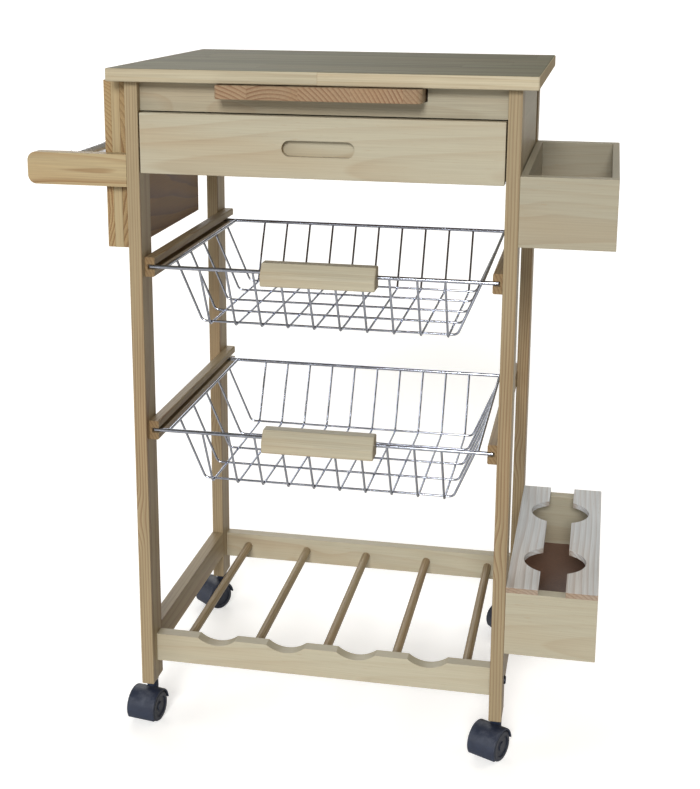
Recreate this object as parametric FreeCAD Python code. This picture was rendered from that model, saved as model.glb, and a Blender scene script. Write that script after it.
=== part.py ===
import FreeCAD, Part
import math
import os
from FreeCAD import Rotation, Vector

# Rolling pantry cart: pine frame on four swivel casters, with a worktop, a pull-out chopping board,
# a drawer, two sliding wire baskets, a wine rack, and side fittings: knife block and towel rail on
# the left, spice box and bottle holder on the right.
# Millimetres. While the pieces are made, X = 0 is the middle of the frame, Y = 0 the middle of its
# depth (front is -Y) and Z = 0 the floor. Every piece is then moved so that the origin is the
# bottom centre of the whole cart's box.

# ---- frame stock and overall size ----
TOTAL_HEIGHT = 870.0
FRAME_WIDTH = 480.0
FRAME_DEPTH = 374.0
STOCK_THICK = 16.5
STOCK_WIDE = 38.5
EDGE = 1.2
POST_BOTTOM = 52.0

HALF_W = FRAME_WIDTH / 2
HALF_D = FRAME_DEPTH / 2
INNER_X = HALF_W - STOCK_THICK
POST_Y = HALF_D - STOCK_WIDE

# ---- worktop ----
TOP_WIDTH = 518.0
TOP_DEPTH = 400.0
TOP_THICK = 16.0
TOP_UNDER = TOTAL_HEIGHT - TOP_THICK
TOP_EDGE = 2.0

# ---- aprons ----
APRON_SETBACK = 10.0
FRONT_APRON_LOW = 818.0
APRON_LOW = 742.0
SIDE_APRON_THICK = 12.0
SIDE_APRON_SETBACK = 2.0

# ---- chopping board ----
BOARD_WIDTH = 248.0
BOARD_MID_X = 2.5
BOARD_THICK = 16.5
BOARD_TOP = TOP_UNDER - 1.0
BOARD_FRONT = -210.0
BOARD_LENGTH = 345.0
BOARD_CORNER = 8.0
NOTCH_GAP = 2.5
BOARD_RUNNER_WIDE = 22.0
BOARD_RUNNER_TALL = 16.0
BOARD_RUNNER_LIP = 5.0

# ---- drawer ----
DRAWER_LOW = 742.0
DRAWER_HIGH = 816.3
DRAWER_SIDE_GAP = 1.5
RECESS_LONG = 89.0
RECESS_TALL = 19.5
RECESS_DEEP = 9.0
RECESS_Z = 778.0
DRAWER_WALL = 12.0
DRAWER_BOX_HALF = 212.0
DRAWER_BOX_LOW = 758.0
DRAWER_BOX_HIGH = 808.0
DRAWER_BACK = 150.0
DRAWER_GROOVE = 5.0
DRAWER_BOTTOM_Z = 762.0
DRAWER_BOTTOM_THICK = 4.0
RUNNER_LEDGE = 24.0
RUNNER_LOW = 744.0
RUNNER_GUIDE_TOP = 775.0
SLIDE_GAP = 0.5

# ---- wire baskets and their grooved rails ----
UPPER_RIM_Z = 622.4
LOWER_RIM_Z = UPPER_RIM_Z - 215.0
RAIL_TALL = 25.0
RAIL_THICK = 12.5
RAIL_FRONT = -176.0
GROOVE_TALL = 6.5
GROOVE_DEEP = 9.0
RIM_WIRE = 5.0
SIDE_WIRE = 4.0
MESH_WIRE = 3.0
RIM_FRONT_Y = -172.5
RIM_REAR_Y = 158.0
RIM_END_X = 217.5
BASKET_TOP_HALF = 198.5
BASKET_LOW_HALF = 165.0
BASKET_DEEP = 79.0
BASKET_LOW_FRONT = -130.0
BASKET_LOW_REAR = 115.0
WIRE_BEND = 8.0
WELD = 0.3
LONG_WIRES = 10
LONG_PITCH = 34.2
CROSS_WIRES = 5
CROSS_PITCH = 59.0
HANDLE_LONG = 143.0
HANDLE_LOW = 14.0
HANDLE_HIGH = 14.0
HANDLE_DEEP = 27.0
HANDLE_BEHIND = 6.0
HANDLE_SLOPE = 11.0
HANDLE_BORE_GAP = 0.1

# ---- wine rack ----
RACK_LOW = 79.0
RACK_SIDE_LOW = 88.5
RACK_FRONT_SETBACK = 17.5
DOWEL_PITCH = 94.0
DOWEL_DIAMETER = 12.0
DOWEL_Z = 98.5
DOWEL_SOCKET = 8.0
SCALLOP_WIDE = 51.0
SCALLOP_DEEP = 9.0

# ---- knife block ----
BLOCK_LOW = 645.0
BLOCK_HIGH = TOP_UNDER - 0.5
BLOCK_FRONT = -HALF_D + STOCK_THICK
BLOCK_REAR = 107.0
BLOCK_INNER_THICK = 12.5
BLOCK_SLOT = 10.5
BLOCK_OUTER_THICK = 9.5
SPACER_FRONT_WIDE = 20.0
SPACER_WIDE = 12.0
KNIFE_SLOTS = 5

# ---- towel rail ----
ARM_LOW = 724.5
ARM_TALL = 40.0
ARM_END = -369.0
ARM_CORNER = 11.0
TOWEL_TUBE = 20.0
TOWEL_TUBE_WALL = 1.5
TOWEL_TUBE_INSET = 22.0
TOWEL_SOCKET = 10.0

# ---- side boxes ----
BOX_WIDE = 113.0
BOX_DEEP = 348.0
BOX_END_THICK = 16.5
BOX_WALL = 8.5
SPICE_LOW = 670.0
SPICE_HIGH = 754.0
SPICE_FLOOR = 676.0
BOTTLE_LOW = 148.5
BOTTLE_HIGH = 231.8
BOTTLE_FLOOR = 154.0
BOX_FLOOR_THICK = 4.0
BOX_FLOOR_GROOVE = 4.0
BOTTLE_BOARD_THICK = 7.0
BOTTLE_SLOT = 34.0
BOTTLE_HOLE = 80.0
BOTTLE_HOLE_PITCH = 165.0

# ---- casters ----
WHEEL_DIAMETER = 40.0
WHEEL_WIDE = 15.0
WHEEL_FACE = 4.3
WHEEL_ROUND = 3.0
WHEEL_DISH = 14.0
WHEEL_DISH_DEEP = 1.6
HUB_RADIUS = 6.0
CASTER_TRAIL = 15.0
HOOD_RADIUS = 23.6
HOOD_INNER = 21.2
HOOD_HALF = 19.8
HOOD_TILT = 20.0
HOOD_DROP = 4.5
WEB_HALF = 3.6
BOSS_RADIUS = 10.0
BOSS_HALF = 3.9
AXLE_DIAMETER = 6.0
AXLE_RUNNING_GAP = 0.05
COLLAR_RADIUS = 7.5
STEM_DIAMETER = 8.0
STEM_TOP = 82.0
SLEEVE_RADIUS = 5.5
SLEEVE_TOP = 84.0
FLANGE_RADIUS = 8.0
FLANGE_THICK = 1.5
CASTER_YAW = {"front_left": -9.0, "front_right": -25.0, "rear_left": -38.0, "rear_right": -50.0}

# ---- screws ----
SCREW_RADIUS = 1.8
SCREW_HEAD_RADIUS = 3.6
SCREW_HEAD_TALL = 2.2
BOLT_RADIUS = 3.0
BOLT_HEAD_RADIUS = 5.5
BOLT_HEAD_TALL = 2.5
BOLT_LONG = 40.0
BOX_SCREW_LONG = 38.0

NODES = {}

os.makedirs("parts", exist_ok=True)


def box(x0, x1, y0, y1, z0, z1):
    return Part.makeBox(x1 - x0, y1 - y0, z1 - z0, Vector(x0, y0, z0))


def cylinder(radius, start, along, length):
    return Part.makeCylinder(radius, length, Vector(*start), Vector(*along))


def eased(solid, radius=EDGE):
    """Round the straight outer edges of a board, as sanding does."""
    return solid.makeFillet(radius, solid.Edges)


def board(x0, x1, y0, y1, z0, z1, radius=EDGE):
    return eased(box(x0, x1, y0, y1, z0, z1), radius)


def mirror_x(shape):
    return shape.mirror(Vector(0, 0, 0), Vector(1, 0, 0))


def keep(name, shapes):
    """Keep one node: a solid, or a group of separate solids."""
    group = shapes if isinstance(shapes, list) else [shapes]
    solids = [solid for shape in group for solid in shape.Solids]
    NODES[name] = solids[0] if len(solids) == 1 else Part.makeCompound(solids)
    valid = all(solid.isValid() for solid in solids)
    print(name, len(solids), "solids", "valid" if valid else "INVALID")


def write_nodes():
    """Put the origin at the bottom centre of the whole cart and write one file for each node."""
    boxes = [node.optimalBoundingBox() for node in NODES.values()]
    whole = boxes[0]
    for piece in boxes[1:]:
        whole.add(piece)
    shift = Vector(-whole.Center.x, -whole.Center.y, -whole.ZMin)
    for name, node in NODES.items():
        moved = node.copy()
        moved.translate(shift)
        moved.exportStep("parts/" + name + ".step")
    print("size", round(whole.XLength, 2), round(whole.YLength, 2), round(whole.ZLength, 2))
    print("moved by", round(shift.x, 3), round(shift.y, 3), round(shift.z, 3))


def screw(head, along, length):
    """A countersunk wood screw: its flat head lies at head, and it points along."""
    point = Vector(*head)
    way = Vector(*along)
    cone = Part.makeCone(SCREW_HEAD_RADIUS, SCREW_RADIUS, SCREW_HEAD_TALL, point, way)
    shank = Part.makeCylinder(SCREW_RADIUS, length, point, way)
    return cone.fuse(shank).removeSplitter()


def cut_all(solid, tools):
    for tool in tools:
        solid = solid.cut(tool)
    return solid


# ------------------------------------------------------------------ screws that hold the rails and boxes
def rail_screws(side, rim_z):
    """Two screws through the groove of one basket rail into the posts; side is -1 or 1."""
    head_x = side * (INNER_X - RAIL_THICK + GROOVE_DEEP)
    length = 16.0
    return [screw((head_x, y, rim_z), (side, 0, 0), length) for y in (-POST_Y - 18, POST_Y + 18)]


def box_screws(low, high):
    """Four screws through the right posts into the ends of one side box's front and back."""
    quarter = (high - low) / 4
    rows = (low + quarter, high - quarter)
    columns = (-HALF_D + BOX_END_THICK / 2, -HALF_D + BOX_DEEP - BOX_END_THICK / 2 + 1)
    return [screw((INNER_X, y, z), (1, 0, 0), BOX_SCREW_LONG) for z in rows for y in columns]


def rack_bolt(side, y):
    """A round-headed bolt through a post into the end of a rack rail."""
    z = RACK_LOW + STOCK_WIDE / 2
    start = (side * HALF_W, y, z)
    head = cylinder(BOLT_HEAD_RADIUS, start, (side, 0, 0), BOLT_HEAD_TALL)
    rims = [edge for edge in head.Edges if abs(edge.BoundBox.XMin) > HALF_W + 1 and edge.BoundBox.XLength < 0.1]
    head = head.makeFillet(BOLT_HEAD_TALL - 0.7, rims)
    socket = cylinder(1.6, (side * (HALF_W + BOLT_HEAD_TALL), y, z), (-side, 0, 0), 1.5)
    shank = cylinder(BOLT_RADIUS, start, (-side, 0, 0), BOLT_LONG)
    return head.fuse(shank).cut(socket)


RACK_BOLTS = [
    rack_bolt(side, y)
    for side in (-1, 1)
    for y in (-HALF_D + RACK_FRONT_SETBACK + STOCK_THICK / 2, HALF_D - STOCK_THICK / 2)
]
RAIL_SCREWS = [
    piece
    for rim_z in (UPPER_RIM_Z, LOWER_RIM_Z)
    for side in (-1, 1)
    for piece in rail_screws(side, rim_z)
]
SPICE_SCREWS = box_screws(SPICE_LOW, SPICE_HIGH)
BOTTLE_SCREWS = box_screws(BOTTLE_LOW, BOTTLE_HIGH)


# ------------------------------------------------------------------ frame
def sleeve_hole(x, y):
    bore = cylinder(SLEEVE_RADIUS, (x, y, POST_BOTTOM), (0, 0, 1), SLEEVE_TOP - POST_BOTTOM)
    return bore


def post(side, end):
    """One leg; side is -1 left or 1 right, end is -1 front or 1 rear."""
    x0, x1 = sorted((side * INNER_X, side * HALF_W))
    y0, y1 = sorted((end * POST_Y, end * HALF_D))
    leg = board(x0, x1, y0, y1, POST_BOTTOM, TOP_UNDER)
    leg = leg.cut(sleeve_hole((x0 + x1) / 2, (y0 + y1) / 2))
    near = [tool for tool in RAIL_SCREWS + SPICE_SCREWS + BOTTLE_SCREWS + RACK_BOLTS
            if tool.BoundBox.intersect(leg.BoundBox)]
    return cut_all(leg, near)


def worktop():
    return board(-TOP_WIDTH / 2, TOP_WIDTH / 2, -TOP_DEPTH / 2, TOP_DEPTH / 2,
                 TOP_UNDER, TOTAL_HEIGHT, TOP_EDGE)


def front_apron():
    front = -HALF_D + APRON_SETBACK
    panel = box(-INNER_X, INNER_X, front, front + STOCK_THICK, FRONT_APRON_LOW, TOP_UNDER)
    half = BOARD_WIDTH / 2 + NOTCH_GAP
    notch = box(BOARD_MID_X - half, BOARD_MID_X + half, front - 1, front + STOCK_THICK + 1,
                BOARD_TOP - BOARD_THICK - SLIDE_GAP, TOP_UNDER + 1)
    return panel.cut(notch)


def rear_apron():
    return box(-INNER_X, INNER_X, HALF_D - STOCK_THICK, HALF_D, APRON_LOW, TOP_UNDER)


def side_apron(side):
    outer = HALF_W - SIDE_APRON_SETBACK
    x0, x1 = sorted((side * (outer - SIDE_APRON_THICK), side * outer))
    return box(x0, x1, -POST_Y, POST_Y, APRON_LOW, TOP_UNDER)


def drawer_runner(side):
    """An L strip: the drawer's side slides on its ledge and along its guide."""
    front = -HALF_D + STOCK_THICK + 5
    rear = HALF_D - STOCK_THICK
    ledge_top = DRAWER_BOX_LOW - SLIDE_GAP
    ledge = box(INNER_X - RUNNER_LEDGE, INNER_X, front, rear, RUNNER_LOW, ledge_top)
    guide = box(DRAWER_BOX_HALF + SLIDE_GAP, INNER_X, front, rear, RUNNER_LOW, RUNNER_GUIDE_TOP)
    runner = ledge.fuse(guide).removeSplitter()
    return runner if side > 0 else mirror_x(runner)


def board_runners():
    """Two L strips under the worktop that carry the chopping board."""
    front = -HALF_D + APRON_SETBACK + STOCK_THICK
    rear = HALF_D - STOCK_THICK
    top = BOARD_TOP - BOARD_THICK - SLIDE_GAP
    edge = BOARD_WIDTH / 2 + SLIDE_GAP
    pair = []
    for side in (-1, 1):
        near = BOARD_MID_X + side * (edge - BOARD_RUNNER_WIDE + BOARD_RUNNER_LIP)
        lip = BOARD_MID_X + side * edge
        far = BOARD_MID_X + side * (edge + BOARD_RUNNER_LIP)
        ledge = box(min(near, far), max(near, far), front, rear, top - BOARD_RUNNER_TALL, top)
        guide = box(min(lip, far), max(lip, far), front, rear, top - 1, TOP_UNDER)
        pair.append(ledge.fuse(guide).removeSplitter())
    return pair


def basket_rail(side, rim_z):
    inner = INNER_X - RAIL_THICK
    rail = box(inner, INNER_X, RAIL_FRONT, HALF_D, rim_z - RAIL_TALL / 2, rim_z + RAIL_TALL / 2)
    long_edges = [edge for edge in rail.Edges
                  if abs(edge.BoundBox.YLength) > 1 and edge.BoundBox.XMax < inner + 1]
    rail = rail.makeFillet(2.0, long_edges)
    groove = box(inner - 1, inner + GROOVE_DEEP, RAIL_FRONT - 1, HALF_D + 1,
                 rim_z - GROOVE_TALL / 2, rim_z + GROOVE_TALL / 2)
    rail = rail.cut(groove)
    if side < 0:
        rail = mirror_x(rail)
    near = [tool for tool in RAIL_SCREWS if tool.BoundBox.intersect(rail.BoundBox)]
    return cut_all(rail, near)


def frame():
    ends = {"front": -1, "rear": 1}
    sides = {"left": -1, "right": 1}
    for end_name, end in ends.items():
        for side_name, side in sides.items():
            keep("post_" + end_name + "_" + side_name, post(side, end))
    keep("worktop", worktop())
    keep("front_apron", front_apron())
    keep("rear_apron", rear_apron())
    for side_name, side in sides.items():
        keep(side_name + "_apron", side_apron(side))
        keep("drawer_runner_" + side_name, drawer_runner(side))
        keep("basket_rail_upper_" + side_name, basket_rail(side, UPPER_RIM_Z))
        keep("basket_rail_lower_" + side_name, basket_rail(side, LOWER_RIM_Z))
    keep("board_runners", board_runners())
    keep("frame_screws", RAIL_SCREWS + SPICE_SCREWS + BOTTLE_SCREWS)


# ------------------------------------------------------------------ wine rack
def dowel_xs():
    return [DOWEL_PITCH * k for k in (-2, -1, 0, 1, 2)]


def rack_rail(front_y):
    """A cross rail of the rack, drilled on its inner face for the dowels."""
    return box(-INNER_X, INNER_X, front_y, front_y + STOCK_THICK, RACK_LOW, RACK_LOW + STOCK_WIDE)


def rack_front_rail():
    front = -HALF_D + RACK_FRONT_SETBACK
    top = RACK_LOW + STOCK_WIDE
    radius = (SCALLOP_WIDE ** 2 / 4 + SCALLOP_DEEP ** 2) / (2 * SCALLOP_DEEP)
    rail = rack_rail(front)
    for x in dowel_xs()[:-1]:
        middle = x + DOWEL_PITCH / 2
        scoop = cylinder(radius, (middle, front - 1, top - SCALLOP_DEEP + radius), (0, 1, 0), STOCK_THICK + 2)
        rail = rail.cut(scoop)
    return cut_all(rail, dowels() + RACK_BOLTS)


def rack_rear_rail():
    return cut_all(rack_rail(HALF_D - STOCK_THICK), dowels() + RACK_BOLTS)


def dowels():
    start = -HALF_D + RACK_FRONT_SETBACK + STOCK_THICK - DOWEL_SOCKET
    end = HALF_D - STOCK_THICK + DOWEL_SOCKET
    return [cylinder(DOWEL_DIAMETER / 2, (x, start, DOWEL_Z), (0, 1, 0), end - start) for x in dowel_xs()]


def rack_side_rail(side):
    x0, x1 = sorted((side * INNER_X, side * HALF_W))
    return box(x0, x1, -POST_Y, POST_Y, RACK_SIDE_LOW, RACK_SIDE_LOW + STOCK_WIDE)


def wine_rack():
    keep("rack_front_rail", rack_front_rail())
    keep("rack_rear_rail", rack_rear_rail())
    keep("rack_side_rail_left", rack_side_rail(-1))
    keep("rack_side_rail_right", rack_side_rail(1))
    keep("rack_dowels", dowels())
    keep("rack_bolts", RACK_BOLTS)


# ------------------------------------------------------------------ knife block and towel rail
def knife_spacers():
    """Strips between the block's two boards; the gaps between them are the knife slots."""
    x1 = -HALF_W - BLOCK_INNER_THICK
    x0 = x1 - BLOCK_SLOT
    rest = BLOCK_REAR - BLOCK_FRONT - SPACER_FRONT_WIDE - KNIFE_SLOTS * SPACER_WIDE
    slot = rest / KNIFE_SLOTS
    strips = [box(x0, x1, BLOCK_FRONT, BLOCK_FRONT + SPACER_FRONT_WIDE, BLOCK_LOW, BLOCK_HIGH)]
    for k in range(KNIFE_SLOTS):
        y0 = BLOCK_FRONT + SPACER_FRONT_WIDE + slot + k * (slot + SPACER_WIDE)
        strips.append(box(x0, x1, y0, y0 + SPACER_WIDE, BLOCK_LOW, BLOCK_HIGH))
    return strips


def towel_arm(y0):
    """One arm board with a round outer end, bored for the rail."""
    middle_z = ARM_LOW + ARM_TALL / 2
    arm = box(ARM_END, -HALF_W, y0, y0 + STOCK_THICK, ARM_LOW, ARM_LOW + ARM_TALL)
    corners = [edge for edge in arm.Edges
               if edge.BoundBox.XMax < ARM_END + 1 and edge.BoundBox.YLength > 1]
    arm = arm.makeFillet(ARM_CORNER, corners)
    inside = y0 + STOCK_THICK - TOWEL_SOCKET if y0 < 0 else y0
    socket = cylinder(TOWEL_TUBE / 2, (ARM_END + TOWEL_TUBE_INSET, inside, middle_z), (0, 1, 0), TOWEL_SOCKET)
    return arm.cut(socket)


def towel_tube():
    start = -HALF_D + STOCK_THICK - TOWEL_SOCKET
    end = HALF_D - STOCK_THICK + TOWEL_SOCKET
    place = (ARM_END + TOWEL_TUBE_INSET, start, ARM_LOW + ARM_TALL / 2)
    outer = cylinder(TOWEL_TUBE / 2, place, (0, 1, 0), end - start)
    hollow = cylinder(TOWEL_TUBE / 2 - TOWEL_TUBE_WALL, place, (0, 1, 0), end - start)
    return outer.cut(hollow)


def left_fittings():
    inner = -HALF_W
    middle = inner - BLOCK_INNER_THICK
    outer = middle - BLOCK_SLOT
    keep("knife_block_inner_board",
         board(middle, inner, BLOCK_FRONT, BLOCK_REAR, BLOCK_LOW, BLOCK_HIGH, 0.8))
    keep("knife_block_outer_board",
         board(outer - BLOCK_OUTER_THICK, outer, BLOCK_FRONT, BLOCK_REAR, BLOCK_LOW, BLOCK_HIGH, 0.8))
    keep("knife_block_spacers", knife_spacers())
    keep("towel_arm_front", towel_arm(-HALF_D))
    keep("towel_arm_rear", towel_arm(HALF_D - STOCK_THICK))
    keep("towel_rail", towel_tube())


# ------------------------------------------------------------------ spice box and bottle holder
def side_box(name, low, high, floor, screws):
    """Four walls and a floor held in grooves, screwed to the right posts."""
    x0 = HALF_W
    x1 = HALF_W + BOX_WIDE
    y0 = -HALF_D
    y1 = -HALF_D + BOX_DEEP
    groove = box(x0 + BOX_WALL - BOX_FLOOR_GROOVE, x1 - BOX_WALL + BOX_FLOOR_GROOVE,
                 y0 + BOX_END_THICK - BOX_FLOOR_GROOVE, y1 - BOX_END_THICK + BOX_FLOOR_GROOVE,
                 floor, floor + BOX_FLOOR_THICK)
    front = board(x0, x1, y0, y0 + BOX_END_THICK, low, high, 0.8)
    back = board(x0, x1, y1 - BOX_END_THICK, y1, low, high, 0.8)
    inside = (y0 + BOX_END_THICK, y1 - BOX_END_THICK)
    left = box(x0, x0 + BOX_WALL, inside[0], inside[1], low, high)
    right = box(x1 - BOX_WALL, x1, inside[0], inside[1], low, high)
    keep(name + "_front", cut_all(front.cut(groove), screws))
    keep(name + "_back", cut_all(back.cut(groove), screws))
    keep(name + "_inner_wall", left.cut(groove))
    keep(name + "_outer_wall", right.cut(groove))
    keep(name + "_floor", groove)


def bottle_board(side):
    """One of the two top boards; its inner edge has a half hole for each of the bottles."""
    x0 = HALF_W
    x1 = HALF_W + BOX_WIDE
    middle = (x0 + x1) / 2
    y0 = -HALF_D
    z0 = BOTTLE_HIGH
    z1 = BOTTLE_HIGH + BOTTLE_BOARD_THICK
    if side < 0:
        strip = box(x0, middle - BOTTLE_SLOT / 2, y0, y0 + BOX_DEEP, z0, z1)
    else:
        strip = box(middle + BOTTLE_SLOT / 2, x1, y0, y0 + BOX_DEEP, z0, z1)
    for end in (-1, 1):
        y = y0 + BOX_DEEP / 2 + end * BOTTLE_HOLE_PITCH / 2
        hole = cylinder(BOTTLE_HOLE / 2, (middle, y, z0 - 1), (0, 0, 1), BOTTLE_BOARD_THICK + 2)
        strip = strip.cut(hole)
    return strip


def right_fittings():
    side_box("spice_box", SPICE_LOW, SPICE_HIGH, SPICE_FLOOR, SPICE_SCREWS)
    side_box("bottle_box", BOTTLE_LOW, BOTTLE_HIGH, BOTTLE_FLOOR, BOTTLE_SCREWS)
    keep("bottle_board_inner", bottle_board(-1))
    keep("bottle_board_outer", bottle_board(1))


# ------------------------------------------------------------------ drawer and chopping board
def drawer_front():
    half = INNER_X - DRAWER_SIDE_GAP
    y0 = -HALF_D
    y1 = -HALF_D + STOCK_THICK
    panel = board(-half, half, y0, y1, DRAWER_LOW, DRAWER_HIGH)
    radius = RECESS_TALL / 2
    straight = RECESS_LONG / 2 - radius
    recess = box(-straight, straight, y0 - 1, y0 + RECESS_DEEP, RECESS_Z - radius, RECESS_Z + radius)
    for side in (-1, 1):
        recess = recess.fuse(cylinder(radius, (side * straight, y0 - 1, RECESS_Z), (0, 1, 0), RECESS_DEEP + 1))
    return panel.cut(recess.removeSplitter()).cut(drawer_bottom())


def drawer_bottom():
    half = DRAWER_BOX_HALF - DRAWER_WALL + DRAWER_GROOVE
    return box(-half, half, -HALF_D + STOCK_THICK - DRAWER_GROOVE, DRAWER_BACK,
               DRAWER_BOTTOM_Z, DRAWER_BOTTOM_Z + DRAWER_BOTTOM_THICK)


def drawer_side(side):
    x0, x1 = sorted((side * (DRAWER_BOX_HALF - DRAWER_WALL), side * DRAWER_BOX_HALF))
    wall = box(x0, x1, -HALF_D + STOCK_THICK, DRAWER_BACK, DRAWER_BOX_LOW, DRAWER_BOX_HIGH)
    return wall.cut(drawer_bottom())


def drawer_back():
    half = DRAWER_BOX_HALF - DRAWER_WALL
    return box(-half, half, DRAWER_BACK - DRAWER_WALL, DRAWER_BACK,
               DRAWER_BOTTOM_Z + DRAWER_BOTTOM_THICK, DRAWER_BOX_HIGH)


def chopping_board():
    half = BOARD_WIDTH / 2
    slab = box(BOARD_MID_X - half, BOARD_MID_X + half, BOARD_FRONT, BOARD_FRONT + BOARD_LENGTH,
               BOARD_TOP - BOARD_THICK, BOARD_TOP)
    corners = [edge for edge in slab.Edges if edge.BoundBox.ZLength > 1]
    slab = slab.makeFillet(BOARD_CORNER, corners)
    rims = [edge for edge in slab.Edges if edge.BoundBox.ZLength < 1]
    return slab.makeFillet(EDGE, rims)


def drawer():
    keep("drawer_front", drawer_front())
    keep("drawer_side_left", drawer_side(-1))
    keep("drawer_side_right", drawer_side(1))
    keep("drawer_back", drawer_back())
    keep("drawer_bottom", drawer_bottom())
    keep("chopping_board", chopping_board())


# ------------------------------------------------------------------ wire baskets
def rod(start, end, radius):
    """A straight round wire."""
    run = end - start
    return Part.makeCylinder(radius, run.Length, start, run)


def bent_wire(points, bend, radius):
    """A round wire along two arms and a base: returns the first arm, the base with both bends, the other arm."""
    corners = [Vector(*point) for point in points]
    turns = []
    for k in (1, 2):
        back = (corners[k - 1] - corners[k]).normalize()
        ahead = (corners[k + 1] - corners[k]).normalize()
        half_turn = math.acos(back.dot(ahead)) / 2
        reach = bend / math.tan(half_turn)
        middle = corners[k] + (back + ahead).normalize() * (bend / math.sin(half_turn) - bend)
        turns.append((corners[k] + back * reach, middle, corners[k] + ahead * reach))
    first, last = turns
    edges = [
        Part.Arc(*first).toShape(),
        Part.LineSegment(first[2], last[0]).toShape(),
        Part.Arc(*last).toShape(),
    ]
    ring = Part.Wire(Part.makeCircle(radius, first[0], first[0] - corners[0]))
    base = Part.Wire(edges).makePipeShell([ring], True, True)
    return rod(corners[0], first[0], radius), base, rod(last[2], corners[3], radius)


def welded(wires):
    return wires[0].multiFuse(wires[1:])


def basket(rim_z):
    """Five welded grilles: the floor with the bends around it, and the front, rear, left and right slopes."""
    floor_z = rim_z - BASKET_DEEP
    under_z = floor_z - MESH_WIRE + WELD
    middle_y = (BASKET_LOW_FRONT + BASKET_LOW_REAR) / 2
    half = RIM_WIRE / 2
    front = [cylinder(half, (-RIM_END_X, RIM_FRONT_Y, rim_z), (1, 0, 0), 2 * RIM_END_X)]
    rear = [cylinder(half, (-RIM_END_X, RIM_REAR_Y, rim_z), (1, 0, 0), 2 * RIM_END_X)]
    span = RIM_REAR_Y - RIM_FRONT_Y
    left = [cylinder(SIDE_WIRE / 2, (-BASKET_TOP_HALF, RIM_FRONT_Y, rim_z), (0, 1, 0), span)]
    right = [cylinder(SIDE_WIRE / 2, (BASKET_TOP_HALF, RIM_FRONT_Y, rim_z), (0, 1, 0), span)]
    floor = []
    for k in range(LONG_WIRES):
        x = (k - (LONG_WIRES - 1) / 2) * LONG_PITCH
        arm, base, far_arm = bent_wire([(x, RIM_FRONT_Y, rim_z), (x, BASKET_LOW_FRONT, under_z),
                                        (x, BASKET_LOW_REAR, under_z), (x, RIM_REAR_Y, rim_z)],
                                       WIRE_BEND, MESH_WIRE / 2)
        front.append(arm)
        floor.append(base)
        rear.append(far_arm)
    for k in range(CROSS_WIRES):
        y = middle_y + (k - (CROSS_WIRES - 1) / 2) * CROSS_PITCH
        arm, base, far_arm = bent_wire([(-BASKET_TOP_HALF, y, rim_z), (-BASKET_LOW_HALF, y, floor_z),
                                        (BASKET_LOW_HALF, y, floor_z), (BASKET_TOP_HALF, y, rim_z)],
                                       WIRE_BEND, MESH_WIRE / 2)
        left.append(arm)
        floor.append(base)
        right.append(far_arm)
    ends = [welded(front), welded(rear)]
    sides = [cut_all(welded(wires), ends) for wires in (left, right)]
    return [welded(floor)] + ends + sides


def basket_handle(rim_z):
    """A wooden grip in front of the rim wire; its upper half slopes back."""
    back = RIM_FRONT_Y + HANDLE_BEHIND
    front = back - HANDLE_DEEP
    low = rim_z - HANDLE_LOW
    high = rim_z + HANDLE_HIGH
    outline = [(front, low), (front, rim_z), (front + HANDLE_SLOPE, high), (back, high), (back, low)]
    corners = [Vector(-HANDLE_LONG / 2, y, z) for y, z in outline]
    face = Part.Face(Part.makePolygon(corners + corners[:1]))
    grip = face.extrude(Vector(HANDLE_LONG, 0, 0))
    grip = grip.makeFillet(2.0, grip.Edges)
    channel = cylinder(RIM_WIRE / 2 + HANDLE_BORE_GAP, (-HANDLE_LONG, RIM_FRONT_Y, rim_z), (1, 0, 0),
                       2 * HANDLE_LONG)
    grip = grip.cut(channel)
    for k in range(LONG_WIRES):
        x = (k - (LONG_WIRES - 1) / 2) * LONG_PITCH
        if abs(x) < HANDLE_LONG / 2:
            slot = box(x - MESH_WIRE / 2 - 0.2, x + MESH_WIRE / 2 + 0.2, RIM_FRONT_Y - MESH_WIRE / 2 - 0.2,
                       back + 1, low - 1, rim_z)
            grip = grip.cut(slot)
    return grip


def baskets():
    for level, rim_z in (("upper", UPPER_RIM_Z), ("lower", LOWER_RIM_Z)):
        keep("basket_" + level, basket(rim_z))
        keep("basket_handle_" + level, basket_handle(rim_z))


# ------------------------------------------------------------------ casters
def wheel(side):
    """One of a caster's two wheels, beside the web; local frame with the axle along X."""
    radius = WHEEL_DIAMETER / 2
    x0 = WHEEL_FACE
    x1 = WHEEL_FACE + WHEEL_WIDE
    centre = (0, -CASTER_TRAIL, radius)
    disc = cylinder(radius, (x0,) + centre[1:], (1, 0, 0), WHEEL_WIDE)
    rims = [edge for edge in disc.Edges if edge.BoundBox.XLength < 0.1 and edge.Length > 1]
    disc = disc.makeFillet(WHEEL_ROUND, rims)
    dish = cylinder(WHEEL_DISH, (x1 - WHEEL_DISH_DEEP,) + centre[1:], (1, 0, 0), WHEEL_DISH_DEEP + 1)
    hub = cylinder(HUB_RADIUS, (x1 - WHEEL_DISH_DEEP,) + centre[1:], (1, 0, 0), WHEEL_DISH_DEEP)
    disc = disc.cut(dish).fuse(hub).removeSplitter()
    bore = cylinder(AXLE_DIAMETER / 2, (0,) + centre[1:], (1, 0, 0), x1 - WHEEL_DISH_DEEP - 2)
    disc = disc.cut(bore)
    return disc if side > 0 else mirror_x(disc)


def axle():
    reach = WHEEL_FACE + WHEEL_WIDE - WHEEL_DISH_DEEP - 2
    return cylinder(AXLE_DIAMETER / 2, (-reach, -CASTER_TRAIL, WHEEL_DIAMETER / 2), (1, 0, 0), 2 * reach)


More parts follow.
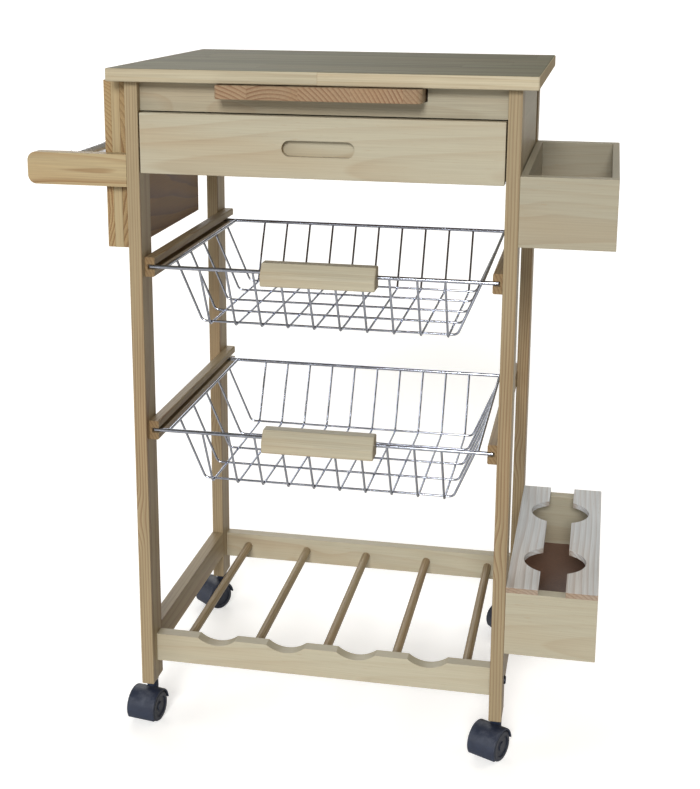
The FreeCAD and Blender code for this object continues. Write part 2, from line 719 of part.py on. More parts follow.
def housing():
    """Hood over both wheels, the web between them, and the collar with its steel stem."""
    radius = WHEEL_DIAMETER / 2
    centre = (-CASTER_TRAIL, radius)
    start = (-HOOD_HALF,) + centre
    shell = cylinder(HOOD_RADIUS, start, (1, 0, 0), 2 * HOOD_HALF)
    rims = [edge for edge in shell.Edges if edge.BoundBox.XLength < 0.1 and edge.Length > 1]
    shell = shell.makeFillet(1.5, rims)
    shell = shell.cut(cylinder(HOOD_INNER, (-HOOD_HALF - 1,) + centre, (1, 0, 0), 2 * HOOD_HALF + 2))
    below = box(-40, 40, -60, 60, -60, 0)
    below.rotate(Vector(0, 0, 0), Vector(1, 0, 0), HOOD_TILT)
    below.translate(Vector(0, -CASTER_TRAIL, radius - HOOD_DROP))
    web = cylinder(HOOD_INNER + 0.8, (-WEB_HALF, -CASTER_TRAIL, radius), (1, 0, 0), 2 * WEB_HALF)
    shell = shell.fuse(web).cut(below)
    boss = cylinder(BOSS_RADIUS, (-BOSS_HALF, -CASTER_TRAIL, radius), (1, 0, 0), 2 * BOSS_HALF)
    collar_top = POST_BOTTOM - FLANGE_THICK - 0.3
    collar = cylinder(COLLAR_RADIUS, (0, 0, radius + 4), (0, 0, 1), collar_top - radius - 4)
    room = cylinder(HOOD_INNER, (WEB_HALF, -CASTER_TRAIL, radius), (1, 0, 0), HOOD_HALF)
    collar = collar.cut(room).cut(mirror_x(room))
    stem = cylinder(STEM_DIAMETER / 2, (0, 0, collar_top - 1), (0, 0, 1), STEM_TOP - collar_top + 1)
    body = shell.fuse(boss).fuse(collar).fuse(stem)
    bore = cylinder(AXLE_DIAMETER / 2 + AXLE_RUNNING_GAP, (-HOOD_HALF, -CASTER_TRAIL, radius), (1, 0, 0),
                    2 * HOOD_HALF)
    return body.cut(bore)


def sleeve():
    """Flanged steel sleeve driven into the end of a post; the stem turns in it."""
    tube = cylinder(SLEEVE_RADIUS, (0, 0, POST_BOTTOM), (0, 0, 1), SLEEVE_TOP - POST_BOTTOM)
    flange = cylinder(FLANGE_RADIUS, (0, 0, POST_BOTTOM - FLANGE_THICK), (0, 0, 1), FLANGE_THICK)
    bore = cylinder(STEM_DIAMETER / 2 + AXLE_RUNNING_GAP, (0, 0, 0), (0, 0, 1), SLEEVE_TOP - 1)
    return tube.fuse(flange).cut(bore)


def placed(shape, x, y, yaw):
    moved = shape.copy()
    moved.Placement = FreeCAD.Placement(Vector(x, y, 0), Rotation(Vector(0, 0, 1), yaw))
    return moved


def casters():
    sleeves = []
    for name, yaw in CASTER_YAW.items():
        x = (HALF_W - STOCK_THICK / 2) * (-1 if name.endswith("left") else 1)
        y = (HALF_D - STOCK_WIDE / 2) * (-1 if name.startswith("front") else 1)
        sleeves.append(placed(sleeve(), x, y, 0))
        keep("caster_housing_" + name, placed(housing(), x, y, yaw))
        wheels = [placed(piece, x, y, yaw) for piece in (wheel(-1), wheel(1), axle())]
        keep("caster_wheels_" + name, wheels)
    keep("caster_sleeves", sleeves)


frame()
wine_rack()
left_fittings()
right_fittings()
drawer()
baskets()
casters()
write_nodes()
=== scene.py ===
import math
import random
from dataclasses import dataclass, replace

import bpy
from mathutils import Matrix, Vector


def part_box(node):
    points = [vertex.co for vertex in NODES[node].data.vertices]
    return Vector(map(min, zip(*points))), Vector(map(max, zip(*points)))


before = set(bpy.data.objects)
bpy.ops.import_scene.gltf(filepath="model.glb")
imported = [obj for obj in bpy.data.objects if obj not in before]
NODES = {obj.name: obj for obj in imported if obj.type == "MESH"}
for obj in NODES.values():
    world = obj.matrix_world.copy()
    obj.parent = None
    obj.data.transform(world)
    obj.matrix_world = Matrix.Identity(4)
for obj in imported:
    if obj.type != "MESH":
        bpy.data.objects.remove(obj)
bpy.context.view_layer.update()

SCENE = bpy.context.scene

# ------------------------------------------------------------------ node helpers
class Tree:
    """Short names for the node calls that the materials share."""

    def __init__(self, tree):
        self.tree = tree

    def clear(self):
        self.tree.nodes.clear()

    def add(self, kind, **values):
        node = self.tree.nodes.new(kind)
        for name, value in values.items():
            socket = node.inputs.get(name.replace("_", " "))
            if socket is None:
                setattr(node, name, value)
            else:
                socket.default_value = value
        return node

    def join(self, source, socket):
        if isinstance(source, (int, float)):
            socket.default_value = source
        elif isinstance(source, tuple):
            socket.default_value = source if len(source) == len(socket.default_value) else source + (1.0,)
        else:
            self.tree.links.new(source, socket)

    def object_place(self):
        return self.add("ShaderNodeTexCoord").outputs["Object"]

    def math(self, operation, a, b=0.0, c=0.0, clamp=False):
        node = self.tree.nodes.new("ShaderNodeMath")
        node.operation = operation
        node.use_clamp = clamp
        for value, socket in zip((a, b, c), node.inputs):
            self.join(value, socket)
        return node.outputs[0]

    def vector(self, operation, a, b=(0.0, 0.0, 0.0)):
        node = self.tree.nodes.new("ShaderNodeVectorMath")
        node.operation = operation
        self.join(a, node.inputs[0])
        self.join(b, node.inputs[1])
        return node.outputs["Value" if operation in ("LENGTH", "DOT_PRODUCT") else "Vector"]

    def split(self, vector):
        node = self.tree.nodes.new("ShaderNodeSeparateXYZ")
        self.join(vector, node.inputs[0])
        return node.outputs[0], node.outputs[1], node.outputs[2]

    def combine(self, x, y, z):
        node = self.tree.nodes.new("ShaderNodeCombineXYZ")
        for value, socket in zip((x, y, z), node.inputs):
            self.join(value, socket)
        return node.outputs[0]

    def noise(self, vector, scale, detail=2.0, roughness=0.5):
        node = self.tree.nodes.new("ShaderNodeTexNoise")
        self.join(vector, node.inputs["Vector"])
        node.inputs["Scale"].default_value = scale
        node.inputs["Detail"].default_value = detail
        node.inputs["Roughness"].default_value = roughness
        return node.outputs["Fac"]

    def span(self, value, low, high, to_low=0.0, to_high=1.0):
        node = self.tree.nodes.new("ShaderNodeMapRange")
        node.interpolation_type = "SMOOTHSTEP"
        self.join(value, node.inputs["Value"])
        node.inputs["From Min"].default_value = low
        node.inputs["From Max"].default_value = high
        node.inputs["To Min"].default_value = to_low
        node.inputs["To Max"].default_value = to_high
        return node.outputs["Result"]

    def ramp(self, value, stops):
        node = self.tree.nodes.new("ShaderNodeValToRGB")
        self.join(value, node.inputs[0])
        ramp = node.color_ramp
        while len(ramp.elements) < len(stops):
            ramp.elements.new(0.5)
        for element, (place, colour) in zip(ramp.elements, stops):
            element.position = place
            element.color = colour + (1.0,) if isinstance(colour, tuple) else (colour, colour, colour, 1.0)
        return node.outputs[0]

    def mix(self, amount, a, b, blend="MIX"):
        """A mix of two colours; the node's colour sockets share their names, so they go by place."""
        node = self.tree.nodes.new("ShaderNodeMix")
        node.data_type = "RGBA"
        node.blend_type = blend
        self.join(amount, node.inputs[0])
        self.join(a, node.inputs[6])
        self.join(b, node.inputs[7])
        return node.outputs[2]

    def bump(self, height, strength, distance):
        node = self.tree.nodes.new("ShaderNodeBump")
        node.inputs["Strength"].default_value = strength
        node.inputs["Distance"].default_value = distance
        self.join(height, node.inputs["Height"])
        return node.outputs[0]


def new_material(name):
    material = bpy.data.materials.new(name)
    material.use_nodes = True
    tree = Tree(material.node_tree)
    return material, tree, material.node_tree.nodes["Principled BSDF"]


# ------------------------------------------------------------------ camera, floor and light
# The cart is seen from the front, a little from the right and from just above its worktop.
CAMERA_FROM_TOP = Vector((0.3389, -1.7531, 0.1200))
CAMERA_YAW = 0.1953
CAMERA_PITCH = -0.2282
CAMERA_ROLL = -0.0052
CAMERA_LENS = 61.84
SENSOR_WIDTH = 36.0
CAMERA_REACH = 200.0
CAMERA_SHIFT = (0.0113, -0.1437)

# The floor glows only where the camera sees it, so the paper under the cart stays white.
FLOOR_HALF = 60.0
FLOOR_TONE = ((0.84, 0.84, 0.84), (0.88, 0.88, 0.88))
FLOOR_GRAIN = 900.0
FLOOR_GLOW = 0.42

WHITE = (1.0, 1.0, 1.0, 1.0)
WORLD_COLOUR = (1.0, 0.94, 0.80, 1.0)
WORLD_LIGHT = 0.21
WORLD_SEEN = 0.97


def make_camera():
    data = bpy.data.cameras.new("camera")
    data.lens = CAMERA_LENS
    data.sensor_width = SENSOR_WIDTH
    data.shift_x, data.shift_y = CAMERA_SHIFT
    data.clip_end = CAMERA_REACH
    camera = bpy.data.objects.new("camera", data)
    SCENE.collection.objects.link(camera)
    turn = Matrix.Rotation(CAMERA_YAW, 4, "Z") @ Matrix.Rotation(CAMERA_PITCH, 4, "X")
    upright = Matrix.Rotation(math.radians(90), 4, "X")
    low, high = (Vector(corner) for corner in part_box("worktop"))
    top = Vector(((low.x + high.x) / 2, (low.y + high.y) / 2, high.z))
    camera.matrix_world = (Matrix.Translation(top + CAMERA_FROM_TOP) @ turn
                           @ Matrix.Rotation(CAMERA_ROLL, 4, "Y") @ upright)
    SCENE.camera = camera


def sun_light(name, azimuth, elevation, strength, softness, colour=(1.0, 1.0, 1.0)):
    """A distant light; azimuth 0 shines from the front and 90 from +X, all angles in degrees."""
    data = bpy.data.lights.new(name, "SUN")
    data.energy = strength
    data.angle = math.radians(softness)
    data.color = colour
    lamp = bpy.data.objects.new(name, data)
    turn, rise = math.radians(azimuth), math.radians(elevation)
    towards = Vector((math.sin(turn) * math.cos(rise), -math.cos(turn) * math.cos(rise), math.sin(rise)))
    lamp.rotation_euler = (-towards).to_track_quat("-Z", "Y").to_euler()
    SCENE.collection.objects.link(lamp)


def make_world():
    world = bpy.data.worlds.new("studio")
    SCENE.world = world
    world.use_nodes = True
    tree = Tree(world.node_tree)
    tree.clear()
    glow = tree.add("ShaderNodeBackground", Color=WORLD_COLOUR, Strength=WORLD_LIGHT)
    seen = tree.add("ShaderNodeBackground", Color=WHITE, Strength=WORLD_SEEN)
    path = tree.add("ShaderNodeLightPath")
    mix = tree.add("ShaderNodeMixShader")
    tree.join(path.outputs["Is Camera Ray"], mix.inputs[0])
    tree.join(glow.outputs[0], mix.inputs[1])
    tree.join(seen.outputs[0], mix.inputs[2])
    out = tree.add("ShaderNodeOutputWorld")
    tree.join(mix.outputs[0], out.inputs[0])


def make_floor():
    mesh = bpy.data.meshes.new("floor")
    corners = [(x * FLOOR_HALF, y * FLOOR_HALF, 0) for x, y in ((-1, -1), (1, -1), (1, 1), (-1, 1))]
    mesh.from_pydata(corners, [], [(0, 1, 2, 3)])
    floor = bpy.data.objects.new("floor", mesh)
    SCENE.collection.objects.link(floor)
    material, tree, shader = new_material("floor_paper")
    grain = tree.noise(tree.object_place(), FLOOR_GRAIN, 3.0)
    tone = tree.ramp(grain, [(0.3, FLOOR_TONE[0]), (0.7, FLOOR_TONE[1])])
    tree.join(tone, shader.inputs["Base Color"])
    shader.inputs["Emission Color"].default_value = WHITE
    seen = tree.add("ShaderNodeLightPath").outputs["Is Camera Ray"]
    tree.join(tree.math("MULTIPLY", seen, FLOOR_GLOW), shader.inputs["Emission Strength"])
    shader.inputs["Roughness"].default_value = 0.85
    shader.inputs["Specular IOR Level"].default_value = 0.15
    mesh.materials.append(material)


# ------------------------------------------------------------------ wood
EARLY = (0.405, 0.372, 0.28)
LATE = (0.30, 0.22, 0.135)
WARM = (0.95, 0.80, 0.66)
KNOT = (0.21, 0.125, 0.06)
PORE = (0.30, 0.20, 0.11)
GLUE = (0.25, 0.17, 0.10)
GRAIN_AXIS = {"X": (1.0, 0.0, 0.0), "Y": (0.0, 1.0, 0.0), "Z": (0.0, 0.0, 1.0)}

# How fine each pattern is, per metre: twice across the grain, then along it.
DRIFT = (7.0, 7.0, 1.6)
RIPPLE = (60.0, 60.0, 5.0)
FIBRES = (620.0, 620.0, 9.0)
PORES = (1500.0, 1500.0, 60.0)
PATCHES = (16.0, 16.0, 2.2)
STREAKS = (160.0, 160.0, 3.0)
KNOT_CELLS = (11.0, 11.0, 6.0)

# One year's ring goes from pale early wood to dark late wood, which ends sharply.
RING = [(0.0, 0.02), (0.45, 0.12), (0.80, 0.70), (0.93, 1.0), (1.0, 0.06)]

# A cell whose random number is over KNOT_CUT holds a knot, which shifts the rings by KNOT_SHIFT metres.
KNOT_CUT = 0.55
KNOT_SIZE = (0.34, 0.02)
KNOT_HEART = (0.72, 0.97)
KNOT_SHIFT = 0.010

# Staves are counted from far outside the board, so every count is positive.
FIRST_STAVE = 40.35
FIRST_ROW = 20.0
ROW_STEP = 61.0
STAGGER_TURN = 9.0
STAGGER = 0.5
STAVES_APART = (0.16, 0.10, 5.0)
STAVE_TONES = (0.94, 1.05)
SEAM = 0.0007

# How strongly each pattern colours the wood.
RING_STRENGTH = (0.55, 1.15)
STREAK_DARK = 0.14
STREAK_LIGHT = 0.08
PORE_FILL = 0.45
GLUE_FILL = 0.45

# What each pattern adds to the roughness, and its height in the relief.
RING_POLISH = -0.08
FIBRE_ROUGHNESS = 0.12
END_ROUGHNESS = 0.15
RING_HEIGHT = 0.35
SEAM_HEIGHT = -1.5
RELIEF_STRENGTH = 0.2
RELIEF_DEPTH = 0.0003
VARNISH = 0.3
VARNISH_ROUGHNESS = 0.28


@dataclass
class Wood:
    """How one board was cut from its log, and its finish; lengths are in metres."""

    grain: str = ""  # X, Y or Z, or the board's longest side if empty
    pith: tuple = (0.03, 0.09)  # where the board's middle lies, seen from the log's centre
    pitch: float = 0.0042  # the width of one year's ring
    contrast: float = 0.55  # how dark the rings are
    early: tuple = EARLY
    late: tuple = LATE
    warp: float = 0.006  # how far the rings wander
    taper: float = 0.012  # how far the rings move in one metre along the grain
    staves: tuple = ()  # the side they are laid along, their width and their length
    tone: float = 1.0  # the brightness of the whole board
    blotch: float = 0.5  # how strong the warm patches are
    end: tuple = (0.80, 0.72, 0.62)  # the tint of the cut ends
    roughness: float = 0.46
    fibre: float = 1.0  # how strong the fine streaks are
    top: tuple = ()  # painted shade on the upper face, in dark and light streaks
    shine: float = 0.28  # how strongly the varnish reflects
    knots: float = 0.0  # how dark the knots are


def along(tree, place, grain):
    """The place as two coordinates across the grain and one along it."""
    x, y, z = tree.split(place)
    return {"X": (y, z, x), "Y": (x, z, y), "Z": (x, y, z)}[grain]


def cut_staves(tree, staves, u, v, w):
    """A glued board: each stave's place in its own log, its tone, and where the joints are."""
    side, width, length = staves
    across = tree.math("ADD", tree.math("DIVIDE", (u, v)[side], width), FIRST_STAVE)
    number = tree.math("FLOOR", across)
    stagger = tree.math("SINE", tree.math("MULTIPLY", number, STAGGER_TURN))
    row = tree.math("MULTIPLY_ADD", stagger, STAGGER, tree.math("DIVIDE", w, length))
    row = tree.math("ADD", row, FIRST_ROW)
    dice = tree.add("ShaderNodeTexWhiteNoise", noise_dimensions="1D")
    tree.join(tree.math("MULTIPLY_ADD", tree.math("FLOOR", row), ROW_STEP, number), dice.inputs["W"])
    moves = zip((u, v, w), tree.split(dice.outputs["Color"]), STAVES_APART)
    u, v, w = (tree.math("ADD", place, tree.math("MULTIPLY", draw, apart)) for place, draw, apart in moves)
    tone = tree.span(dice.outputs["Value"], 0.0, 1.0, *STAVE_TONES)
    seam = tree.math("ABSOLUTE", tree.math("SUBTRACT", tree.math("FRACT", across), 0.5))
    butt = tree.math("ABSOLUTE", tree.math("SUBTRACT", tree.math("FRACT", row), 0.5))
    joint = tree.math("MAXIMUM", tree.span(seam, 0.5 - SEAM / width, 0.5),
                      tree.span(butt, 0.5 - SEAM / length, 0.5))
    return u, v, w, tone, joint


def growth_rings(tree, wood, board, u, v, w, drift):
    """How far through its year's ring each place is, pale to dark, and how much of it is knot."""
    ripple = tree.noise(tree.vector("MULTIPLY", board, RIPPLE), 1.0, 2.0)
    from_pith = tree.combine(tree.math("ADD", u, wood.pith[0]), tree.math("ADD", v, wood.pith[1]), 0.0)
    radius = tree.vector("LENGTH", from_pith)
    radius = tree.math("MULTIPLY_ADD", w, wood.taper, radius)
    radius = tree.math("MULTIPLY_ADD", drift, wood.warp * 3, radius)
    radius = tree.math("MULTIPLY_ADD", ripple, wood.warp * 0.25, radius)
    knot = 0.0
    if wood.knots:
        cells = tree.add("ShaderNodeTexVoronoi", Scale=1.0)
        tree.join(tree.vector("MULTIPLY", board, KNOT_CELLS), cells.inputs["Vector"])
        chosen = tree.math("GREATER_THAN", tree.split(cells.outputs["Color"])[0], KNOT_CUT)
        near = tree.math("MULTIPLY", tree.span(cells.outputs["Distance"], *KNOT_SIZE), chosen)
        radius = tree.math("MULTIPLY_ADD", near, KNOT_SHIFT, radius)
        knot = tree.math("MULTIPLY", tree.span(near, *KNOT_HEART), wood.knots)
    turn = tree.math("FRACT", tree.math("DIVIDE", radius, wood.pitch))
    return tree.ramp(turn, RING), knot


def wood_material(name, wood, middle, grain):
    material, tree, shader = new_material(name)
    coordinates = tree.add("ShaderNodeTexCoord")
    place = tree.vector("SUBTRACT", coordinates.outputs["Object"], tuple(middle))
    u, v, w = along(tree, place, grain)
    stave_tone = 1.0
    joint = 0.0
    if wood.staves:
        u, v, w, stave_tone, joint = cut_staves(tree, wood.staves, u, v, w)
    board = tree.combine(u, v, w)
    drift = tree.noise(tree.vector("MULTIPLY", board, DRIFT), 1.0, 2.0)
    ring, knot = growth_rings(tree, wood, board, u, v, w, drift)
    fibre = tree.noise(tree.vector("MULTIPLY", board, FIBRES), 1.0, 3.0, 0.6)
    pores = tree.noise(tree.vector("MULTIPLY", board, PORES), 1.0, 1.0)
    patch = tree.noise(tree.vector("MULTIPLY", board, PATCHES), 1.0, 3.0)

    strength = tree.math("MULTIPLY", tree.span(drift, 0.3, 0.7, *RING_STRENGTH), wood.contrast)
    colour = tree.mix(tree.math("MULTIPLY", ring, strength, clamp=True), wood.early, wood.late)
    colour = tree.mix(tree.span(patch, 0.42, 0.75, 0.0, wood.blotch), colour, WARM, "MULTIPLY")
    colour = tree.mix(knot, colour, KNOT)
    streak = tree.span(fibre, 0.25, 0.75, 1.0 - STREAK_DARK * wood.fibre, 1.0 + STREAK_LIGHT * wood.fibre)
    tone = tree.math("MULTIPLY", tree.math("MULTIPLY", streak, stave_tone), wood.tone)
    colour = tree.mix(1.0, colour, tree.combine(tone, tone, tone), "MULTIPLY")
    colour = tree.mix(tree.span(pores, 0.70, 0.80, 0.0, PORE_FILL), colour, PORE)
    facing = tree.vector("DOT_PRODUCT", coordinates.outputs["Normal"], GRAIN_AXIS[grain])
    cut_end = tree.span(tree.math("ABSOLUTE", facing), 0.75, 0.95)
    colour = tree.mix(cut_end, colour, tree.mix(1.0, colour, wood.end, "MULTIPLY"))
    colour = tree.mix(tree.math("MULTIPLY", joint, GLUE_FILL), colour, GLUE)
    # Painted shade: faces that point up are multiplied by a streaked dark tint.
    if wood.top:
        upward = tree.span(tree.split(coordinates.outputs["Normal"])[2], 0.7, 0.95)
        streaks = tree.noise(tree.vector("MULTIPLY", board, STREAKS), 1.0, 3.0)
        painted_shade = tree.mix(tree.span(streaks, 0.35, 0.65), *wood.top)
        colour = tree.mix(upward, colour, tree.mix(1.0, colour, painted_shade, "MULTIPLY"))
    tree.join(colour, shader.inputs["Base Color"])

    rough = tree.math("MULTIPLY_ADD", ring, RING_POLISH, wood.roughness)
    rough = tree.math("MULTIPLY_ADD", fibre, FIBRE_ROUGHNESS, rough)
    tree.join(tree.math("MULTIPLY_ADD", cut_end, END_ROUGHNESS, rough), shader.inputs["Roughness"])
    height = tree.math("MULTIPLY_ADD", ring, RING_HEIGHT, fibre)
    height = tree.math("MULTIPLY_ADD", joint, SEAM_HEIGHT, height)
    tree.join(tree.bump(height, RELIEF_STRENGTH, RELIEF_DEPTH), shader.inputs["Normal"])
    shader.inputs["Specular IOR Level"].default_value = wood.shine
    shader.inputs["Coat Weight"].default_value = wood.shine * VARNISH
    shader.inputs["Coat Roughness"].default_value = VARNISH_ROUGHNESS
    return material


WHITE_EARLY = (0.56, 0.585, 0.605)
WHITE_LATE = (0.40, 0.36, 0.34)
PINK_EARLY = (0.29, 0.215, 0.135)
PINK_LATE = (0.15, 0.07, 0.035)
POST_EARLY = (0.315, 0.25, 0.15)
POST_LATE = (0.19, 0.115, 0.06)
BLOCK_EARLY = (0.355, 0.265, 0.14)
BLOCK_LATE = (0.18, 0.085, 0.03)
HONEY_EARLY = (0.385, 0.305, 0.175)
HONEY_LATE = (0.22, 0.12, 0.048)
TOP_EARLY = (0.44, 0.395, 0.29)
TOP_LATE = (0.32, 0.25, 0.155)
# Painted shade: the worktop's upper face is multiplied by these two tints, in streaks.
TOP_PAINTED_SHADE = ((0.21, 0.22, 0.145), (0.345, 0.37, 0.31))

PALE = Wood(pith=(0.03, 0.02), pitch=0.011, taper=0.05)
SMOOTH = replace(PALE, fibre=0.5)
ROUGH_APRON = replace(PALE, pitch=0.009, contrast=0.45, warp=0.008, knots=0.7)

# Each entry serves the nodes whose names start with its own name.
WOODS = {
    "worktop": Wood(grain="X", staves=(0, 0.062, 0.41), pith=(0.04, 0.05), pitch=0.0075, contrast=0.5,
                    early=TOP_EARLY, late=TOP_LATE, roughness=0.50, top=TOP_PAINTED_SHADE, shine=0.10),
    "chopping_board": Wood(grain="Y", staves=(0, 0.062, 3.0), pith=(0.02, 0.06), pitch=0.0052,
                           contrast=1.0, early=PINK_EARLY, late=PINK_LATE, end=(1.0, 0.93, 0.88),
                           warp=0.003),
    "post": Wood(grain="Z", pith=(0.30, 0.05), pitch=0.0034, contrast=0.85, early=POST_EARLY,
                 late=POST_LATE, warp=0.004, taper=0.004, knots=0.6),
    "knife_block_spacers": Wood(grain="Z", pith=(0.1, 0.2), pitch=0.006, contrast=0.25,
                                early=HONEY_EARLY, late=HONEY_LATE),
    "knife_block": Wood(grain="Y", pith=(0.11, 0.045), pitch=0.0045, contrast=1.0, early=BLOCK_EARLY,
                        late=BLOCK_LATE, warp=0.012, taper=0.03, end=(1.0, 0.96, 0.9)),
    # Painted shade: the inner board is a darker copy of the block's wood, and its end tint lifts the cut
    # front edge back up to a lit grey.
    "knife_block_inner_board": Wood(grain="Y", pith=(0.10, 0.02), pitch=0.0055, contrast=1.0,
                                    early=(0.25, 0.145, 0.055), late=(0.13, 0.055, 0.015), warp=0.012,
                                    taper=0.05, end=(1.25, 1.5, 1.9)),
    "towel_arm": Wood(grain="X", pith=(0.03, 0.006), pitch=0.0045, contrast=0.72, early=HONEY_EARLY,
                      late=HONEY_LATE, warp=0.013, taper=0.05),
    "bottle_board": Wood(grain="Y", pith=(0.07, 0.08), pitch=0.0042, contrast=0.8, early=WHITE_EARLY,
                         late=WHITE_LATE, end=(0.58, 0.45, 0.34)),
    "rack_side_rail": Wood(grain="Y", pith=(0.10, 0.05), pitch=0.005, contrast=0.7, early=POST_EARLY,
                           late=POST_LATE, knots=0.5),
    "rack_dowels": Wood(grain="Y", pith=(0.05, 0.04), pitch=0.0036, contrast=0.8, early=POST_EARLY,
                        late=POST_LATE),
    "basket_rail": Wood(grain="Y", pith=(0.10, 0.05), pitch=0.004, contrast=0.8, early=POST_EARLY,
                        late=POST_LATE),
    "basket_handle": Wood(grain="X", pith=(0.05, 0.04), pitch=0.007, contrast=0.25, tone=0.97),
    "front_apron": replace(PALE, contrast=0.28, tone=0.86, knots=0.25),
    "left_apron": ROUGH_APRON,
    "right_apron": ROUGH_APRON,
    "rear_apron": ROUGH_APRON,
    "rack_front_rail": replace(SMOOTH, contrast=0.2, tone=1.06, blotch=0.25),
    "spice_box_front": replace(SMOOTH, pitch=0.010, contrast=0.3, tone=0.82, knots=0.4),
    "spice_box": replace(SMOOTH, pitch=0.010, contrast=0.26, tone=0.76),
    "bottle_box": replace(SMOOTH, pitch=0.010, contrast=0.22, tone=0.93, blotch=0.3),
    "drawer_front": replace(SMOOTH, contrast=0.3, warp=0.008, tone=0.98),
    "": replace(SMOOTH, contrast=0.32, warp=0.008, knots=0.5),
}


def wood_of(node):
    """The entry of WOODS with the longest name that the node's name starts with."""
    fitting = [name for name in WOODS if node.startswith(name)]
    return WOODS[max(fitting, key=len)]


def vary(wood, node):
    """The same kind of wood, cut elsewhere from its log, so that no two boards are alike."""
    dice = random.Random(node)
    pith = (wood.pith[0] * dice.uniform(0.6, 1.5), wood.pith[1] * dice.uniform(0.7, 1.4))
    pitch = wood.pitch * dice.uniform(0.85, 1.2)
    tone = wood.tone * dice.uniform(0.95, 1.04)
    taper = wood.taper * dice.choice((-1.0, 1.0))
    return replace(wood, pith=pith, pitch=pitch, tone=tone, taper=taper)


# ------------------------------------------------------------------ other materials
HARDBOARD_FIBRES = [(0.30, (0.125, 0.058, 0.038)), (0.52, (0.20, 0.105, 0.072)),
                    (0.75, (0.28, 0.155, 0.108))]
HARDBOARD_CLOUD = (0.15, 0.072, 0.047)
DUST = (0.42, 0.41, 0.39)


def hardboard():
    material, tree, shader = new_material("hardboard")
    place = tree.object_place()
    fibres = tree.noise(place, 420.0, 5.0, 0.7)
    clouds = tree.noise(place, 28.0, 3.0)
    base = tree.ramp(fibres, HARDBOARD_FIBRES)
    colour = tree.mix(tree.span(clouds, 0.35, 0.7, 0.0, 0.5), base, HARDBOARD_CLOUD)
    tree.join(colour, shader.inputs["Base Color"])
    tree.join(tree.span(fibres, 0.2, 0.8, 0.36, 0.56), shader.inputs["Roughness"])
    tree.join(tree.bump(fibres, 0.25, 0.0003), shader.inputs["Normal"])
    return material


def chrome(name, marks_per_metre, dull, bright, roughness):
    """Bright plating with faint drawing marks along the wire or tube."""
    material, tree, shader = new_material(name)
    place = tree.vector("MULTIPLY", tree.object_place(), marks_per_metre)
    marks = tree.noise(place, 1.0, 4.0, 0.6)
    haze = tree.noise(tree.object_place(), 45.0, 3.0)
    tree.join(tree.ramp(marks, [(0.3, dull), (0.7, bright)]), shader.inputs["Base Color"])
    shader.inputs["Metallic"].default_value = 1.0
    tree.join(tree.span(haze, 0.3, 0.75, *roughness), shader.inputs["Roughness"])
    tree.join(tree.bump(marks, 0.06, 0.0002), shader.inputs["Normal"])
    return material


def steel(name, dark, light):
    """Dull or blackened steel with a fine flaked surface."""
    material, tree, shader = new_material(name)
    place = tree.object_place()
    flakes = tree.noise(place, 700.0, 4.0, 0.7)
    tree.join(tree.ramp(flakes, [(0.3, dark), (0.7, light)]), shader.inputs["Base Color"])
    shader.inputs["Metallic"].default_value = 1.0
    tree.join(tree.span(flakes, 0.2, 0.8, 0.28, 0.5), shader.inputs["Roughness"])
    tree.join(tree.bump(flakes, 0.1, 0.0002), shader.inputs["Normal"])
    return material


def plastic(name, dark, light, roughness, grain):
    """Moulded plastic with a fine sparked grain and a little dust on its upper faces."""
    material, tree, shader = new_material(name)
    coordinates = tree.add("ShaderNodeTexCoord")
    place = coordinates.outputs["Object"]
    spark = tree.noise(place, 1500.0, 3.0, 0.7)
    scuffs = tree.noise(place, 90.0, 5.0, 0.7)
    up = tree.split(coordinates.outputs["Normal"])[2]
    dust = tree.math("MULTIPLY", tree.span(up, 0.2, 1.0), tree.span(scuffs, 0.4, 0.75, 0.0, 0.10))
    colour = tree.mix(tree.span(scuffs, 0.35, 0.75), dark, light)
    tree.join(tree.mix(dust, colour, DUST), shader.inputs["Base Color"])
    tree.join(tree.span(scuffs, 0.3, 0.8, roughness, roughness + 0.2), shader.inputs["Roughness"])
    tree.join(tree.bump(spark, grain, 0.0002), shader.inputs["Normal"])
    shader.inputs["Specular IOR Level"].default_value = 0.5
    return material


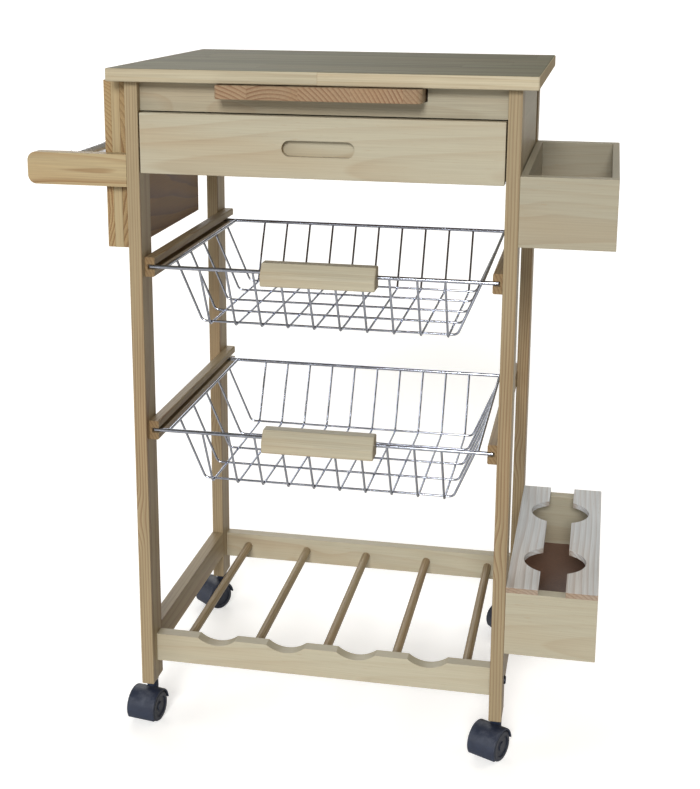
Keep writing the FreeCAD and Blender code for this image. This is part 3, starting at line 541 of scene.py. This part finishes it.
# ------------------------------------------------------------------ the CAD nodes get their materials
WIRE_DULL = (0.34, 0.365, 0.43)
WIRE_BRIGHT = (0.48, 0.51, 0.61)
TUBE_DULL = (0.80, 0.81, 0.86)
TUBE_BRIGHT = (0.92, 0.93, 0.97)
TUBE_ROUGHNESS = (0.20, 0.34)
WIRE_ROUGHNESS = (0.08, 0.20)
ZINC = steel("zinc_steel", (0.34, 0.34, 0.35), (0.55, 0.55, 0.56))
METALS = {
    "towel_rail": chrome("chrome_tube", (900.0, 14.0, 900.0), TUBE_DULL, TUBE_BRIGHT,
                         TUBE_ROUGHNESS),
    "basket_upper": chrome("chrome_wire_upper", (260.0, 260.0, 260.0), WIRE_DULL, WIRE_BRIGHT,
                           WIRE_ROUGHNESS),
    "basket_lower": chrome("chrome_wire_lower", (240.0, 280.0, 250.0), WIRE_DULL, WIRE_BRIGHT,
                           WIRE_ROUGHNESS),
    "caster_sleeves": ZINC,
    "frame_screws": ZINC,
    "rack_bolts": steel("black_steel", (0.020, 0.022, 0.032), (0.050, 0.053, 0.070)),
}
HARDBOARD = hardboard()
HOOD_PLASTIC = plastic("hood_plastic", (0.011, 0.017, 0.037), (0.018, 0.027, 0.054), 0.44, 0.10)
WHEEL_PLASTIC = plastic("wheel_plastic", (0.013, 0.017, 0.031), (0.022, 0.028, 0.047), 0.42, 0.14)
PANELS = ("drawer_bottom", "bottle_box_floor", "spice_box_floor")


def material_for(node):
    low, high = (Vector(corner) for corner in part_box(node))
    if node in METALS:
        return METALS[node]
    if node in PANELS:
        return HARDBOARD
    if node.startswith("caster_housing"):
        return HOOD_PLASTIC
    if node.startswith("caster_wheels"):
        return WHEEL_PLASTIC
    wood = vary(wood_of(node), node)
    size = high - low
    grain = wood.grain or "XYZ"[max(range(3), key=lambda axis: size[axis])]
    return wood_material("wood_" + node, wood, (low + high) / 2, grain)


def dress(node):
    piece = NODES[node]
    material = material_for(node)
    for slot in piece.material_slots:
        slot.material = material
    if not piece.material_slots:
        piece.data.materials.append(material)


for each in sorted(NODES):
    dress(each)

make_camera()
make_world()
make_floor()
sun_light("key", azimuth=2.0, elevation=25.0, strength=2.6, softness=18.0, colour=(1.0, 0.99, 0.97))
sun_light("left", azimuth=-66.0, elevation=15.0, strength=0.9, softness=30.0)
sun_light("right", azimuth=108.0, elevation=46.0, strength=0.65, softness=30.0, colour=(1.0, 0.96, 0.88))
sun_light("back", azimuth=202.0, elevation=32.0, strength=0.85, softness=40.0)
SCENE.view_settings.view_transform = "Standard"
